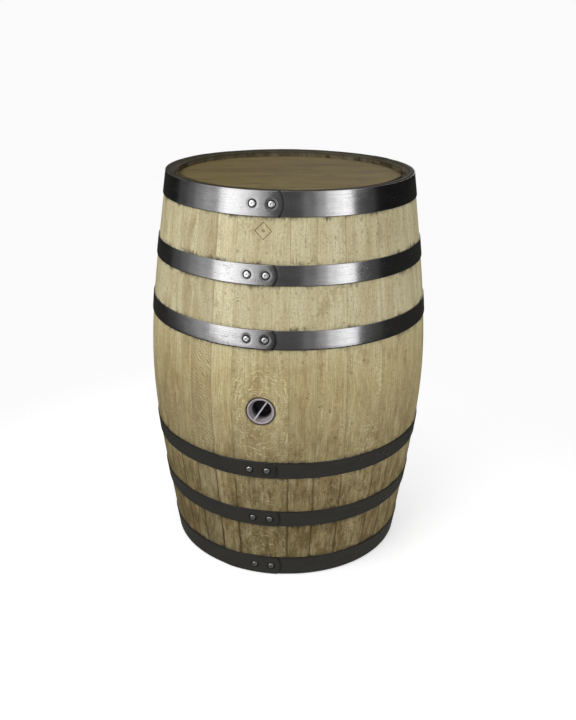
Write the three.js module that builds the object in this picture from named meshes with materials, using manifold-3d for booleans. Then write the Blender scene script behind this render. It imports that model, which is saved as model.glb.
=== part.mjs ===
// Oak wine barrel, put together as a cooper does it: bent staves, two jointed heads held in the
// croze, six lapped and riveted steel hoops, and a hollow bung in the widest stave.
// Millimetres, +Z up. The origin is the centre of the lower end. The bung faces -Y.

import * as THREE from 'three';
import { mergeVertices } from 'three/addons/utils/BufferGeometryUtils.js';
import Module from 'manifold-3d';

const wasm = await Module();
wasm.setup();

// ---- driving dimensions -------------------------------------------------------------------

const HEIGHT = 950;
const BILGE_RADIUS = 344;
const END_RADIUS = 292;
const BEND_SPREAD = 0.428; // share of the half height over which the bend is spread
const GAP = 0.3; // clearance between neighbouring pieces

// Staves. Widths are measured round the bilge, counter-clockwise from the bung stave, and
// share out the whole circumference.
const STAVE_THICKNESS = 27;
const STAVE_WIDTHS = [
  131, 63, 71, 96, 55, 54, 66, 82, 70, 91, 76, 64, 88, 79, 95,
  68, 84, 73, 90, 66, 86, 77, 72, 81, 49, 60, 62, 59, 53,
];
const BUNG_STAVE_CENTRE = THREE.MathUtils.degToRad(-90.4);
const STAVE_FACET_WIDTH = 40; // the widest flat facet across a stave
const OUTER_STEPS = 12;
const INNER_STEPS = 6;

// Chime and croze, at both ends of every stave.
const END_FACE_WIDTH = 9.5;
const CHIME_DEPTH = 16;
const CROZE_LIP_RADIUS = 273;
const CROZE_FLOOR_RADIUS = 279;
const CROZE_WIDTH = 6;

// Heads.
const HEAD_BOARD_WIDTHS = [94, 88, 102, 96, 84, 94];
const HEAD_THICKNESS = 22;
const HEAD_RECESS = 13.5; // from the stave ends down to the head's flat face
const HEAD_RADIUS = 277.8;
const HEAD_FACE_RADIUS = 255; // where the flat outer face ends and its bevel starts
const HEAD_INNER_FACE_RADIUS = 235;
const HEAD_EDGE_THICKNESS = 4.4;
const HEAD_SEGMENTS = 48;
const TONGUE = 6; // thickness and depth of the tongue between two boards
const TOP_HEAD_TURN = THREE.MathUtils.degToRad(13);
const BOTTOM_HEAD_TURN = THREE.MathUtils.degToRad(-8);

// Hoops. near and far are an edge's distance from its end of the barrel, and lap is the
// direction of the middle of the lap, in degrees.
const HOOP_BANDS = {
  head: { near: 1.5, far: 55 },
  quarter: { near: 153.5, far: 198 },
  bilge: { near: 293.5, far: 337 },
};
const HOOPS = [
  { band: 'head', end: 'top', lap: -91.1 },
  { band: 'quarter', end: 'top', lap: -92.4 },
  { band: 'bilge', end: 'top', lap: -92.0 },
  { band: 'bilge', end: 'bottom', lap: -91.2 },
  { band: 'quarter', end: 'bottom', lap: -90.6 },
  { band: 'head', end: 'bottom', lap: -90.7 },
];
const HOOP_THICKNESS = 2;
const HOOP_CLEARANCE = 0.7; // from the staves to the corners of the hoop's inner facets
const HOOP_STEPS = 72;
const LAP_CLEARANCE = 0.9; // between the two layers of a lap, at the facet corners
const LAP_RAMP = THREE.MathUtils.degToRad(10);
const LAP_LEAD = THREE.MathUtils.degToRad(6); // full lift is reached this far before the lap
const LAP_END_ROUNDING = 8;

// Rivets.
const RIVET_SPACING = 40.5;
const RIVET_TO_END = 23.5;
const RIVET_HEAD_RADIUS = 7.3;
const RIVET_HEAD_HEIGHT = 3;
const RIVET_SHANK_RADIUS = 3.5;
const RIVET_TAIL_RADIUS = 5;
const RIVET_TAIL_LENGTH = 1.5;
const RIVET_SEGMENTS = 10;

// Bung and its hole.
const BUNG_HEIGHT = 467;
const BUNG_OUTER_RADIUS = 31.5;
const BUNG_INNER_RADIUS = 25.5;
const BUNG_LENGTH = 42;
const BUNG_CHAMFER = 1;
const BUNG_MOUTH_RADIUS = 27;
const BUNG_HOLLOW_RADIUS = 19;
const BUNG_FLOOR = 6;
const BUNG_SEGMENTS = 24;
const WEB_THICKNESS = 2;
const WEB_DEPTH = 5; // from the mouth to the web's outer edge
const WEB_TURN = THREE.MathUtils.degToRad(58); // from the horizontal

const OAK = { color: 0xc9b184, roughness: 0.72, metalness: 0 };
const HEAD_OAK = { color: 0x8a7448, roughness: 0.7, metalness: 0 };
const HOOP_STEEL = { color: 0x3c3d42, roughness: 0.35, metalness: 1 };
const RIVET_STEEL = { color: 0xb9babd, roughness: 0.3, metalness: 1 };
const SILICONE = { color: 0xb8b0c4, roughness: 0.4, metalness: 0 };

// ---- shape helpers ------------------------------------------------------------------------

const SWEEP_RADIUS = 300; // the arc that sections are swept along; only offsets from it matter

// The stave's outer curve: a hyperbola, nearly straight towards the ends.
function outerRadius(z) {
  const bend = (share) => Math.hypot(1, share / BEND_SPREAD) - 1;
  const share = Math.abs((2 * z) / HEIGHT - 1);
  return BILGE_RADIUS - ((BILGE_RADIUS - END_RADIUS) * bend(share)) / bend(1);
}

// An arc about the Z axis whose distance from it may be lifted along the way. Its tangent
// stays square to the radius, so every swept section lies in a plane through the axis.
class ArcPath extends THREE.Curve {
  constructor(start, sweep, lift) {
    super();
    this.start = start;
    this.sweep = sweep;
    this.lift = lift;
  }

  getPoint(t, target = new THREE.Vector3()) {
    const radius = SWEEP_RADIUS + this.lift(this.sweep * t);
    const angle = this.start + this.sweep * t;
    return target.set(radius * Math.cos(angle), radius * Math.sin(angle), 0);
  }

  getTangent(t, target = new THREE.Vector3()) {
    const angle = this.start + this.sweep * t;
    return target.set(-Math.sin(angle), Math.cos(angle), 0);
  }
}

// Sweeps a section, given as [radius, z] points, about the Z axis.
function sweepSection(section, start, sweep, steps, lift = () => 0) {
  const outline = section.map(([radius, z]) => new THREE.Vector2(-z, SWEEP_RADIUS - radius));
  const extrudePath = new ArcPath(start, sweep, lift);
  return new THREE.ExtrudeGeometry(new THREE.Shape(outline), { steps, extrudePath });
}

// Turns a section, given as [radius, height] points, about the Y axis.
function turnSection(section, segments) {
  return new THREE.LatheGeometry(section.map(([x, y]) => new THREE.Vector2(x, y)), segments);
}

// The basis of a place on a hoop: along the strip, up its slope, and out of its face.
function faceBasis(angle, slope) {
  const along = new THREE.Vector3(-Math.sin(angle), Math.cos(angle), 0);
  const outward = new THREE.Vector3(Math.cos(angle), Math.sin(angle), 0);
  const up = outward.clone().multiplyScalar(Math.sin(slope));
  up.z = Math.cos(slope);
  return { along, up, out: along.clone().cross(up) };
}

function solidOf(geometry) {
  const bare = new THREE.BufferGeometry();
  bare.setAttribute('position', geometry.getAttribute('position'));
  bare.setIndex(geometry.index);
  const merged = mergeVertices(bare);
  const corners = merged.index.array;
  const triVerts = [];
  for (let i = 0; i < corners.length; i += 3) {
    const triangle = [corners[i], corners[i + 1], corners[i + 2]];
    if (new Set(triangle).size === 3) triVerts.push(...triangle);
  }
  const vertProperties = merged.getAttribute('position').array;
  const mesh = new wasm.Mesh({ numProp: 3, vertProperties, triVerts: new Uint32Array(triVerts) });
  return new wasm.Manifold(mesh);
}

function geometryOf(solid) {
  const mesh = solid.getMesh();
  const geometry = new THREE.BufferGeometry();
  geometry.setAttribute('position', new THREE.BufferAttribute(mesh.vertProperties, 3));
  geometry.setIndex(new THREE.BufferAttribute(mesh.triVerts, 1));
  geometry.computeVertexNormals();
  return geometry;
}

const barrel = new THREE.Group();

function addPiece(name, geometry, finish) {
  const piece = new THREE.Mesh(geometry, new THREE.MeshStandardMaterial(finish));
  piece.name = name;
  barrel.add(piece);
}

// ---- bung and bung hole -------------------------------------------------------------------

// Sections run along the bung's own axis, from its outer face at y = -BILGE_RADIUS inwards.
function bungRadiusAt(depth) {
  return BUNG_OUTER_RADIUS + ((BUNG_INNER_RADIUS - BUNG_OUTER_RADIUS) * depth) / BUNG_LENGTH;
}

function makeBung() {
  const mouth = -BILGE_RADIUS;
  const floor = mouth + BUNG_LENGTH - BUNG_FLOOR;
  const tip = mouth + BUNG_LENGTH;
  const cup = turnSection([
    [0, floor],
    [BUNG_HOLLOW_RADIUS, floor],
    [BUNG_MOUTH_RADIUS, mouth],
    [BUNG_OUTER_RADIUS - BUNG_CHAMFER, mouth],
    [bungRadiusAt(BUNG_CHAMFER), mouth + BUNG_CHAMFER],
    [BUNG_INNER_RADIUS, tip - BUNG_CHAMFER],
    [BUNG_INNER_RADIUS - BUNG_CHAMFER, tip],
    [0, tip],
  ], BUNG_SEGMENTS);

  // The web's sides and foot run a little into the cup's wall and floor.
  const outline = new THREE.Shape();
  outline.moveTo(-BUNG_MOUTH_RADIUS, mouth + WEB_DEPTH);
  outline.lineTo(BUNG_MOUTH_RADIUS, mouth + WEB_DEPTH);
  outline.lineTo(BUNG_HOLLOW_RADIUS + 1, floor + 1);
  outline.lineTo(-BUNG_HOLLOW_RADIUS - 1, floor + 1);
  const web = new THREE.ExtrudeGeometry(outline, { depth: WEB_THICKNESS, bevelEnabled: false });
  web.translate(0, 0, -WEB_THICKNESS / 2);
  web.rotateY(-WEB_TURN);

  const bung = geometryOf(solidOf(cup).add(solidOf(web)));
  bung.translate(0, 0, BUNG_HEIGHT);
  addPiece('bung', bung, SILICONE);
}

// The tool that bores the hole: the bung's own taper with clearance, longer at both ends.
function bungReamer() {
  const overrun = 10;
  const reamer = turnSection([
    [0, -BILGE_RADIUS - overrun],
    [bungRadiusAt(-overrun) + GAP, -BILGE_RADIUS - overrun],
    [bungRadiusAt(BUNG_LENGTH + overrun) + GAP, -BILGE_RADIUS + BUNG_LENGTH + overrun],
    [0, -BILGE_RADIUS + BUNG_LENGTH + overrun],
  ], BUNG_SEGMENTS);
  return solidOf(reamer.translate(0, 0, BUNG_HEIGHT));
}

// ---- staves -------------------------------------------------------------------------------

function staveSection() {
  const outer = [];
  for (let i = 0; i <= OUTER_STEPS; i += 1) {
    const z = (HEIGHT * i) / OUTER_STEPS;
    outer.push([outerRadius(z), z]);
  }
  const crozeBottom = CHIME_DEPTH + CROZE_WIDTH;
  const chime = [
    [END_RADIUS - END_FACE_WIDTH, 0],
    [CROZE_LIP_RADIUS, CHIME_DEPTH],
    [CROZE_FLOOR_RADIUS, CHIME_DEPTH],
    [CROZE_FLOOR_RADIUS, crozeBottom],
  ];
  const topChime = chime.map(([radius, depth]) => [radius, HEIGHT - depth]);
  const inner = [];
  for (let i = 0; i <= INNER_STEPS; i += 1) {
    const z = HEIGHT - crozeBottom - ((HEIGHT - 2 * crozeBottom) * i) / INNER_STEPS;
    inner.push([outerRadius(z) - STAVE_THICKNESS, z]);
  }
  return [...outer, ...topChime, ...inner, ...chime.reverse()];
}

function makeStaves() {
  const section = staveSection();
  const girth = STAVE_WIDTHS.reduce((sum, width) => sum + width, 0);
  const halfGap = GAP / 2 / (CROZE_LIP_RADIUS - STAVE_THICKNESS / 2);
  let edge = BUNG_STAVE_CENTRE - (Math.PI * STAVE_WIDTHS[0]) / girth;
  STAVE_WIDTHS.forEach((width, index) => {
    const sweep = (2 * Math.PI * width) / girth;
    const facets = Math.max(2, Math.ceil(width / STAVE_FACET_WIDTH));
    let stave = sweepSection(section, edge + halfGap, sweep - 2 * halfGap, facets);
    if (index === 0) stave = geometryOf(solidOf(stave).subtract(bungReamer()));
    const name = index === 0 ? 'bung_stave' : `stave_${String(index + 1).padStart(2, '0')}`;
    addPiece(name, stave, OAK);
    edge += sweep;
  });
}

// ---- heads --------------------------------------------------------------------------------

// A whole head as one disc, its outer face up at z = 0, bevelled on both sides to fit the croze.
function headDisc() {
  const edgeBottom = HEAD_RECESS - CHIME_DEPTH - CROZE_WIDTH + GAP;
  const disc = turnSection([
    [0, -HEAD_THICKNESS],
    [HEAD_INNER_FACE_RADIUS, -HEAD_THICKNESS],
    [outerRadius(CHIME_DEPTH) - STAVE_THICKNESS, edgeBottom],
    [HEAD_RADIUS, edgeBottom],
    [HEAD_RADIUS, edgeBottom + HEAD_EDGE_THICKNESS],
    [HEAD_FACE_RADIUS, 0],
    [0, 0],
  ], HEAD_SEGMENTS);
  return solidOf(disc.rotateX(Math.PI / 2));
}

// One board's outline across its width, with a groove in its left side and a tongue on its
// right side where it meets a neighbour.
function boardOutline(left, right, hasGroove, hasTongue) {
  const low = -HEAD_THICKNESS - 1;
  const middle = -HEAD_THICKNESS / 2;
  const grooveHalf = TONGUE / 2 + GAP;
  const outline = [[left, low], [right, low]];
  if (hasTongue) {
    outline.push([right, middle - TONGUE / 2]);
    outline.push([right + TONGUE, middle - TONGUE / 2]);
    outline.push([right + TONGUE, middle + TONGUE / 2]);
    outline.push([right, middle + TONGUE / 2]);
  }
  outline.push([right, 1], [left, 1]);
  if (hasGroove) {
    outline.push([left, middle + grooveHalf]);
    outline.push([left + TONGUE, middle + grooveHalf]);
    outline.push([left + TONGUE, middle - grooveHalf]);
    outline.push([left, middle - grooveHalf]);
  }
  return new THREE.Shape(outline.map(([x, y]) => new THREE.Vector2(x, y)));
}

function makeHead(name, turn, isBottom) {
  const disc = headDisc();
  const span = HEAD_BOARD_WIDTHS.reduce((sum, width) => sum + width, 0);
  const length = 2 * HEAD_RADIUS + 2;
  const lengthwise = new THREE.Matrix4().makeBasis(
    new THREE.Vector3(0, 1, 0),
    new THREE.Vector3(0, 0, 1),
    new THREE.Vector3(1, 0, 0),
  );
  let edge = -span / 2;
  HEAD_BOARD_WIDTHS.forEach((width, index) => {
    const hasGroove = index > 0;
    const hasTongue = index < HEAD_BOARD_WIDTHS.length - 1;
    const outline = boardOutline(edge + GAP / 2, edge + width - GAP / 2, hasGroove, hasTongue);
    const plank = new THREE.ExtrudeGeometry(outline, { depth: length, bevelEnabled: false });
    plank.translate(0, 0, -length / 2);
    plank.applyMatrix4(lengthwise);
    const board = geometryOf(disc.intersect(solidOf(plank)));
    if (isBottom) board.rotateX(Math.PI);
    board.rotateZ(turn);
    board.translate(0, 0, isBottom ? HEAD_RECESS : HEIGHT - HEAD_RECESS);
    addPiece(`${name}_board_${index + 1}`, board, HEAD_OAK);
    edge += width;
  });
}

// ---- hoops and rivets ---------------------------------------------------------------------

// Every measure of one hoop that its strip, its lap and its rivets share.
function hoopLayout({ band, end, lap }) {
  const { near, far } = HOOP_BANDS[band];
  const bottom = end === 'top' ? HEIGHT - far : near;
  const top = end === 'top' ? HEIGHT - near : far;
  const bottomRadius = outerRadius(bottom) + HOOP_CLEARANCE;
  const topRadius = outerRadius(top) + HOOP_CLEARANCE;
  const slope = Math.atan2(topRadius - bottomRadius, top - bottom);
  const radius = (bottomRadius + topRadius) / 2;
  const halfLap = (RIVET_SPACING / 2 + RIVET_TO_END) / radius;
  return {
    name: `${band}_hoop_${end}`,
    bottom,
    top,
    bottomRadius,
    topRadius,
    slope,
    radius,
    lap: THREE.MathUtils.degToRad(lap),
    halfLap,
    middle: (bottom + top) / 2,
    width: top - bottom,
  };
}

function hoopStrip(hoop) {
  const outX = HOOP_THICKNESS * Math.cos(hoop.slope);
  const outZ = -HOOP_THICKNESS * Math.sin(hoop.slope);
  const section = [
    [hoop.bottomRadius, hoop.bottom],
    [hoop.bottomRadius + outX, hoop.bottom + outZ],
    [hoop.topRadius + outX, hoop.top + outZ],
    [hoop.topRadius, hoop.top],
  ];
  const fullLift = HOOP_THICKNESS + LAP_CLEARANCE;
  const rampEnd = 2 * Math.PI - LAP_LEAD;
  const lift = (turned) =>
    fullLift * THREE.MathUtils.smoothstep(turned, rampEnd - LAP_RAMP, rampEnd);
  const sweep = 2 * Math.PI + 2 * hoop.halfLap;
  return solidOf(sweepSection(section, hoop.lap - hoop.halfLap, sweep, HOOP_STEPS, lift));
}

// What is cut off the outer layer's end to round it. Its inner side lies between the layers.
function lapEndCutter(hoop) {
  const overrun = 1.5;
  const half = hoop.width / 2;
  const round = (half * half + LAP_END_ROUNDING * LAP_END_ROUNDING) / (2 * LAP_END_ROUNDING);
  const reach = Math.asin((half + overrun) / round);
  const outline = new THREE.Shape();
  outline.moveTo(overrun, -half - overrun);
  outline.lineTo(overrun, half + overrun);
  outline.lineTo(round * (Math.cos(reach) - 1), half + overrun);
  outline.absarc(-round, 0, round, reach, -reach, true);
  const depth = 3 * HOOP_THICKNESS;
  const cutter = new THREE.ExtrudeGeometry(outline, {
    depth,
    bevelEnabled: false,
    curveSegments: 6,
  });
  const angle = hoop.lap + hoop.halfLap;
  const { along, up, out } = faceBasis(angle, hoop.slope);
  const radius = hoop.radius + HOOP_THICKNESS + LAP_CLEARANCE / 3;
  const place = new THREE.Matrix4().makeBasis(along, up, out);
  place.setPosition(radius * Math.cos(angle), radius * Math.sin(angle), hoop.middle);
  return solidOf(cutter.applyMatrix4(place));
}

// A rivet stands on y = 0, the outer layer's face, with its shank below and a flared tail
// flush with the inner layer.
const RIVET_FOOT = -(2 * HOOP_THICKNESS + LAP_CLEARANCE + HOOP_CLEARANCE / 2);

function rivetGeometry() {
  const crown = GAP + RIVET_HEAD_HEIGHT;
  return turnSection([
    [0, RIVET_FOOT],
    [RIVET_TAIL_RADIUS, RIVET_FOOT],
    [RIVET_SHANK_RADIUS, RIVET_FOOT + RIVET_TAIL_LENGTH],
    [RIVET_SHANK_RADIUS, GAP],
    [RIVET_HEAD_RADIUS, GAP],
    [RIVET_HEAD_RADIUS, GAP + 0.3 * RIVET_HEAD_HEIGHT],
    [0.7 * RIVET_HEAD_RADIUS, crown],
    [0, crown],
  ], RIVET_SEGMENTS);
}

function rivetHole() {
  const overrun = 2 * GAP;
  return turnSection([
    [0, RIVET_FOOT - overrun],
    [RIVET_TAIL_RADIUS + overrun, RIVET_FOOT - overrun],
    [RIVET_SHANK_RADIUS + GAP, RIVET_FOOT + RIVET_TAIL_LENGTH],
    [RIVET_SHANK_RADIUS + GAP, overrun],
    [0, overrun],
  ], RIVET_SEGMENTS);
}

function rivetPlace(hoop, side) {
  const angle = hoop.lap + (side * RIVET_SPACING) / 2 / hoop.radius;
  const { along, up, out } = faceBasis(angle, hoop.slope);
  const radius = hoop.radius + 2 * HOOP_THICKNESS + LAP_CLEARANCE;
  const place = new THREE.Matrix4().makeBasis(up, out, along);
  return place.setPosition(radius * Math.cos(angle), radius * Math.sin(angle), hoop.middle);
}

function makeHoops() {
  HOOPS.map(hoopLayout).forEach((hoop) => {
    let strip = hoopStrip(hoop).subtract(lapEndCutter(hoop));
    [-1, 1].forEach((side, index) => {
      const place = rivetPlace(hoop, side);
      strip = strip.subtract(solidOf(rivetHole().applyMatrix4(place)));
      const rivet = rivetGeometry().applyMatrix4(place);
      addPiece(`${hoop.name}_rivet_${index + 1}`, rivet, RIVET_STEEL);
    });
    addPiece(hoop.name, geometryOf(strip), HOOP_STEEL);
  });
}

// ---- the barrel ---------------------------------------------------------------------------

makeStaves();
makeHead('top_head', TOP_HEAD_TURN, false);
makeHead('bottom_head', BOTTOM_HEAD_TURN, true);
makeHoops();
makeBung();

export default barrel;
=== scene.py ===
"""Oak wine barrel: the finished look of every piece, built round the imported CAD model."""

import math
import random

import bmesh
import bpy
import numpy as np
from mathutils import Matrix, Vector, noise


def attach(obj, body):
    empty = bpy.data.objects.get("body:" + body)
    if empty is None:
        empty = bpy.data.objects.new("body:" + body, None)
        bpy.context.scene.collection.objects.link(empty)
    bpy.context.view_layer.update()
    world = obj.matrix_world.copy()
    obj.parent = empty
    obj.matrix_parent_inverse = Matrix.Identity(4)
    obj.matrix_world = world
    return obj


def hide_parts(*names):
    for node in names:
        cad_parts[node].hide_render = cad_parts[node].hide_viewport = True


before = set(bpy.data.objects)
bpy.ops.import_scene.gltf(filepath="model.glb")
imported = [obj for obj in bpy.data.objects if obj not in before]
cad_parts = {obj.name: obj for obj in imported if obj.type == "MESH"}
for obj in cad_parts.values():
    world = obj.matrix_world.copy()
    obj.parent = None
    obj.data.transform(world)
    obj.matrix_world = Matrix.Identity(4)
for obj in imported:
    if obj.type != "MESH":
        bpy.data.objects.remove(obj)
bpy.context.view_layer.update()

MM = 0.001

# The barrel, in metres, as in the CAD model.
HEIGHT = 0.950
BILGE_RADIUS = 0.344
END_RADIUS = 0.292
BEND_SPREAD = 0.428
STAVE_THICKNESS = 27 * MM
END_FACE_WIDTH = 9.5 * MM
CHIME_DEPTH = 16 * MM
CROZE_LIP_RADIUS = 273 * MM
CROZE_FLOOR_RADIUS = 279 * MM
CROZE_WIDTH = 6 * MM

HEAD_THICKNESS = 22 * MM
HEAD_RECESS = 13.5 * MM
HEAD_RADIUS = 277.8 * MM
HEAD_FACE_RADIUS = 255 * MM
HEAD_INNER_FACE_RADIUS = 235 * MM
HEAD_EDGE_THICKNESS = 4.4 * MM
HEAD_TURNS = {"top": math.radians(13), "bottom": math.radians(-8)}
TONGUE = 6 * MM

HOOP_BANDS = {"head": (1.5, 55.0), "quarter": (153.5, 198.0), "bilge": (293.5, 337.0)}
HOOP_LAPS = [
    ("head", "top", -91.1),
    ("quarter", "top", -92.4),
    ("bilge", "top", -92.0),
    ("bilge", "bottom", -91.2),
    ("quarter", "bottom", -90.6),
    ("head", "bottom", -90.7),
]
HOOP_THICKNESS = 2 * MM
RIVET_SPACING = 40.5 * MM
RIVET_TO_END = 23.5 * MM
LAP_END_ROUNDING = 8 * MM
RIVET_HEAD_RADIUS = 7.3 * MM
RIVET_HEAD_HEIGHT = 3 * MM

BUNG_HEIGHT = 0.467
BUNG_OUTER_RADIUS = 31.5 * MM
BUNG_INNER_RADIUS = 25.5 * MM
BUNG_LENGTH = 42 * MM
BUNG_MOUTH_RADIUS = 27 * MM
BUNG_HOLLOW_RADIUS = 19 * MM
BUNG_FLOOR = 6 * MM
WEB_TURN = math.radians(58)

MARK_X, MARK_HEIGHT = -2 * MM, 0.866
BUNG_STAVE_HALF = 65.5 * MM  # half the bung stave's width at the bilge

rng = random.Random(29)


# ---- camera -------------------------------------------------------------------------------

CAMERA_AZIMUTH = math.radians(-79.95)
CAMERA_DISTANCE = 2.034
CAMERA_HEIGHT = 1.2819
CAMERA_PITCH = math.radians(22.15)
CAMERA_ROLL = 0.01194
CAMERA_LENS = 42.233


def make_camera():
    data = bpy.data.cameras.new("camera")
    data.lens = CAMERA_LENS
    data.sensor_width = 36
    camera = bpy.data.objects.new("camera", data)
    bpy.context.scene.collection.objects.link(camera)
    flat = Vector((math.cos(CAMERA_AZIMUTH), math.sin(CAMERA_AZIMUTH), 0))
    forward = -flat * math.cos(CAMERA_PITCH)
    forward.z = -math.sin(CAMERA_PITCH)
    level_right = forward.cross(Vector((0, 0, 1))).normalized()
    level_up = level_right.cross(forward)
    right = level_right * math.cos(CAMERA_ROLL) + level_up * math.sin(CAMERA_ROLL)
    up = level_up * math.cos(CAMERA_ROLL) - level_right * math.sin(CAMERA_ROLL)
    turn = Matrix((right, up, -forward)).transposed().to_4x4()
    place = flat * CAMERA_DISTANCE
    place.z = CAMERA_HEIGHT
    camera.matrix_world = Matrix.Translation(place) @ turn
    bpy.context.scene.camera = camera


# ---- node graphs --------------------------------------------------------------------------


def operator(operation, swapped=False):
    def apply(self, other):
        pair = (other, self) if swapped else (self, other)
        return self.graph.math(operation, *pair)

    return apply


class Value:
    """A node's output. Plain arithmetic with it makes Math nodes."""

    def __init__(self, graph, socket):
        self.graph = graph
        self.socket = socket

    __add__ = __radd__ = operator("ADD")
    __mul__ = __rmul__ = operator("MULTIPLY")
    __sub__ = operator("SUBTRACT")
    __rsub__ = operator("SUBTRACT", swapped=True)
    __truediv__ = operator("DIVIDE")
    __pow__ = operator("POWER")

    def __abs__(self):
        return self.graph.math("ABSOLUTE", self)


class Graph:
    """Short names for building the node tree of a new material or world."""

    def __init__(self, owner):
        owner.use_nodes = True
        self.owner = owner
        self.tree = owner.node_tree

    def plug(self, socket, value):
        if isinstance(value, Value):
            value = value.socket
        if isinstance(value, bpy.types.NodeSocket):
            self.tree.links.new(value, socket)
        elif value is not None:
            if socket.type == "RGBA" and len(value) == 3:
                value = (*value, 1)
            socket.default_value = value

    def node(self, kind, inputs=(), **settings):
        """A new node. Its inputs are given in order, or by number or name."""
        node = self.tree.nodes.new("ShaderNode" + kind)
        for key, value in settings.items():
            setattr(node, key, value)
        for key, value in inputs.items() if isinstance(inputs, dict) else enumerate(inputs):
            self.plug(node.inputs[key], value)
        return node

    def make(self, kind, inputs=(), output=0, **settings):
        """One output of a new node."""
        return Value(self, self.node(kind, inputs, **settings).outputs[output])

    def attribute(self, name, output="Vector", kind="GEOMETRY"):
        return self.make("Attribute", (), output, attribute_name=name, attribute_type=kind)

    def own(self, name):
        """A number that is set on the whole object."""
        return self.attribute(name, "Fac", "OBJECT")

    def math(self, operation, *values):
        return self.make("Math", values, operation=operation)

    def larger(self, a, b):
        return self.math("MAXIMUM", a, b)

    def length(self, a, b):
        return self.math("SQRT", a * a + b * b)

    def split(self, vector):
        return [Value(self, part) for part in self.node("SeparateXYZ", (vector,)).outputs]

    def join(self, x, y, z):
        return self.make("CombineXYZ", (x, y, z))

    def stretch(self, vector, scale):
        return self.make("VectorMath", (vector, scale), operation="MULTIPLY")

    def noise(self, vector, scale, detail=2.0, rough=0.5):
        inputs = {"Vector": self.stretch(vector, scale), "Scale": 1}
        return self.make("TexNoise", {**inputs, "Detail": detail, "Roughness": rough})

    def span(self, value, low, high, to_low=0.0, to_high=1.0, smooth=True):
        kind = "SMOOTHSTEP" if smooth else "LINEAR"
        return self.make("MapRange", (value, low, high, to_low, to_high), interpolation_type=kind)

    def fall(self, value, low, high, start=1.0):
        return self.span(value, low, high, start, 0.0)

    def mix(self, share, a, b, blend="MIX"):
        return self.make("Mix", {0: share, 6: a, 7: b}, 2, data_type="RGBA", blend_type=blend)

    def tinted(self, colour, tint):
        return self.mix(1.0, colour, tint, "MULTIPLY")

    def paint(self, colour, *layers):
        """Lays (share, colour) layers over a colour, one after another."""
        for share, layer in layers:
            colour = self.mix(share, colour, layer)
        return colour

    def ramp(self, value, stops):
        node = self.node("ValToRGB", (value,))
        elements = node.color_ramp.elements
        while len(elements) < len(stops):
            elements.new(0.5)
        for element, (place, colour) in zip(elements, stops):
            element.position = place
            element.color = (*colour, 1)
        return Value(self, node.outputs[0])

    def bump(self, height, strength, distance, normal=None):
        inputs = {"Strength": strength, "Distance": distance, "Height": height, "Normal": normal}
        return self.make("Bump", inputs)

    def surface(self, colour, roughness, normal, others):
        """Fills in the material's shader and gives the material back."""
        shader = self.tree.nodes["Principled BSDF"]
        inputs = {"Base Color": colour, "Roughness": roughness, "Normal": normal, **others}
        for name, value in inputs.items():
            self.plug(shader.inputs[name], value)
        return self.owner


def rgb(red, green, blue):
    """A colour given as 0 to 255 screen values, as the linear one that nodes use."""
    shares = [value / 255 for value in (red, green, blue)]
    return tuple(s / 12.92 if s <= 0.04045 else ((s + 0.055) / 1.055) ** 2.4 for s in shares)


# ---- oak ----------------------------------------------------------------------------------

# Every wooden piece carries two vectors at its points, in metres: plank is (across the grain,
# along it, depth), and place is (from the joint, height, how blackened it is, 0 to 1). How
# blackened covers charring, toasting and the croze, and also painted shade in the bung hole
# and in the chime. The head boards' height is above every height that matters on a stave.

BOARD_PLACE_HEIGHT = 2.5
FIGURE_HEIGHT, LOW_FIGURE_HEIGHT = BUNG_HEIGHT - 10 * MM, 35 * MM
MARK_REACH = 18 * MM
END_CLEAR = 13.5  # mm from a stave's end to where a head hoop begins to darken it


def hoop_shade_stops(reach):
    """Ramp stops over the height that are 1 under each hoop and fade out within reach. The
    staves' ends beyond the head hoops stay clear."""
    edges = []
    for near, far in HOOP_BANDS.values():
        near = max(near, END_CLEAR)
        edges += [(near * MM, far * MM), (HEIGHT - far * MM, HEIGHT - near * MM)]
    stops = []
    for low, high in sorted(edges):
        for height, value in ((low - reach, 0), (low, 1), (high, 1), (high + reach, 0)):
            stops.append((height / HEIGHT, (value,) * 3))
    return stops


def ray_flecks(g, plank, line, joint, height, bleached):
    """Rays show as pale wavy dashes across the grain, in patches, and some as dark ones where
    the wood is bleached. Returns the pale and the dark ones."""
    across, along, depth = g.split(plank)
    warp = g.noise(plank, (64, 46, 64), 1.5)
    lines = warp * 9.0 + along * 30
    # On the bung stave they ring two centres, one near the bung and one low down.
    beside = BUNG_STAVE_HALF - joint
    above = g.math("MINIMUM", abs(height - FIGURE_HEIGHT), height - LOW_FIGURE_HEIGHT)
    from_centre = g.math("SQRT", beside * beside + above * above * 0.35)
    figured = g.own("figure") * g.fall(from_centre, 0.075, 0.1)
    lines = lines * (1.0 - figured) + (from_centre * 110 + warp * 2.4) * figured
    # On a raked stave they run aslant in close lines.
    raked = g.own("raked")
    aslant = along * 120 + across * 95 + warp * 2.6
    lines = lines * (1.0 - raked) + aslant * raked
    edge = g.math("PINGPONG", lines, 0.5)
    thin = g.fall(edge, 0.02, 0.1 + raked * 0.2)
    broken = g.larger(g.span(g.noise(plank, (70, 50, 70), 2, 0.6), 0.47, 0.53), raked * 0.7)
    patch = g.span(g.noise(plank, (13, 6, 13), 2, 0.55), 0.42, 0.6)
    patch = g.larger(patch, figured * 0.8 + raked * 0.45)
    dash = g.noise(g.join(line + warp * 0.04, along, depth), (75, 400, 75), 2)
    dashes = g.span(dash, 0.56, 0.68) * (0.25 + patch)
    flecks = g.larger(thin * broken * patch, dashes * 0.4) * g.own("flecks")
    between = raked * patch * g.span(edge, 0.25, 0.42)
    dark = g.larger(flecks * bleached * 0.7, between * 0.42)
    pale = flecks * g.span(bleached, 0.0, 1.0, 1.0, 0.4) * g.span(raked, 0.0, 1.0, 1.0, 0.7)
    return pale, dark


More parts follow.
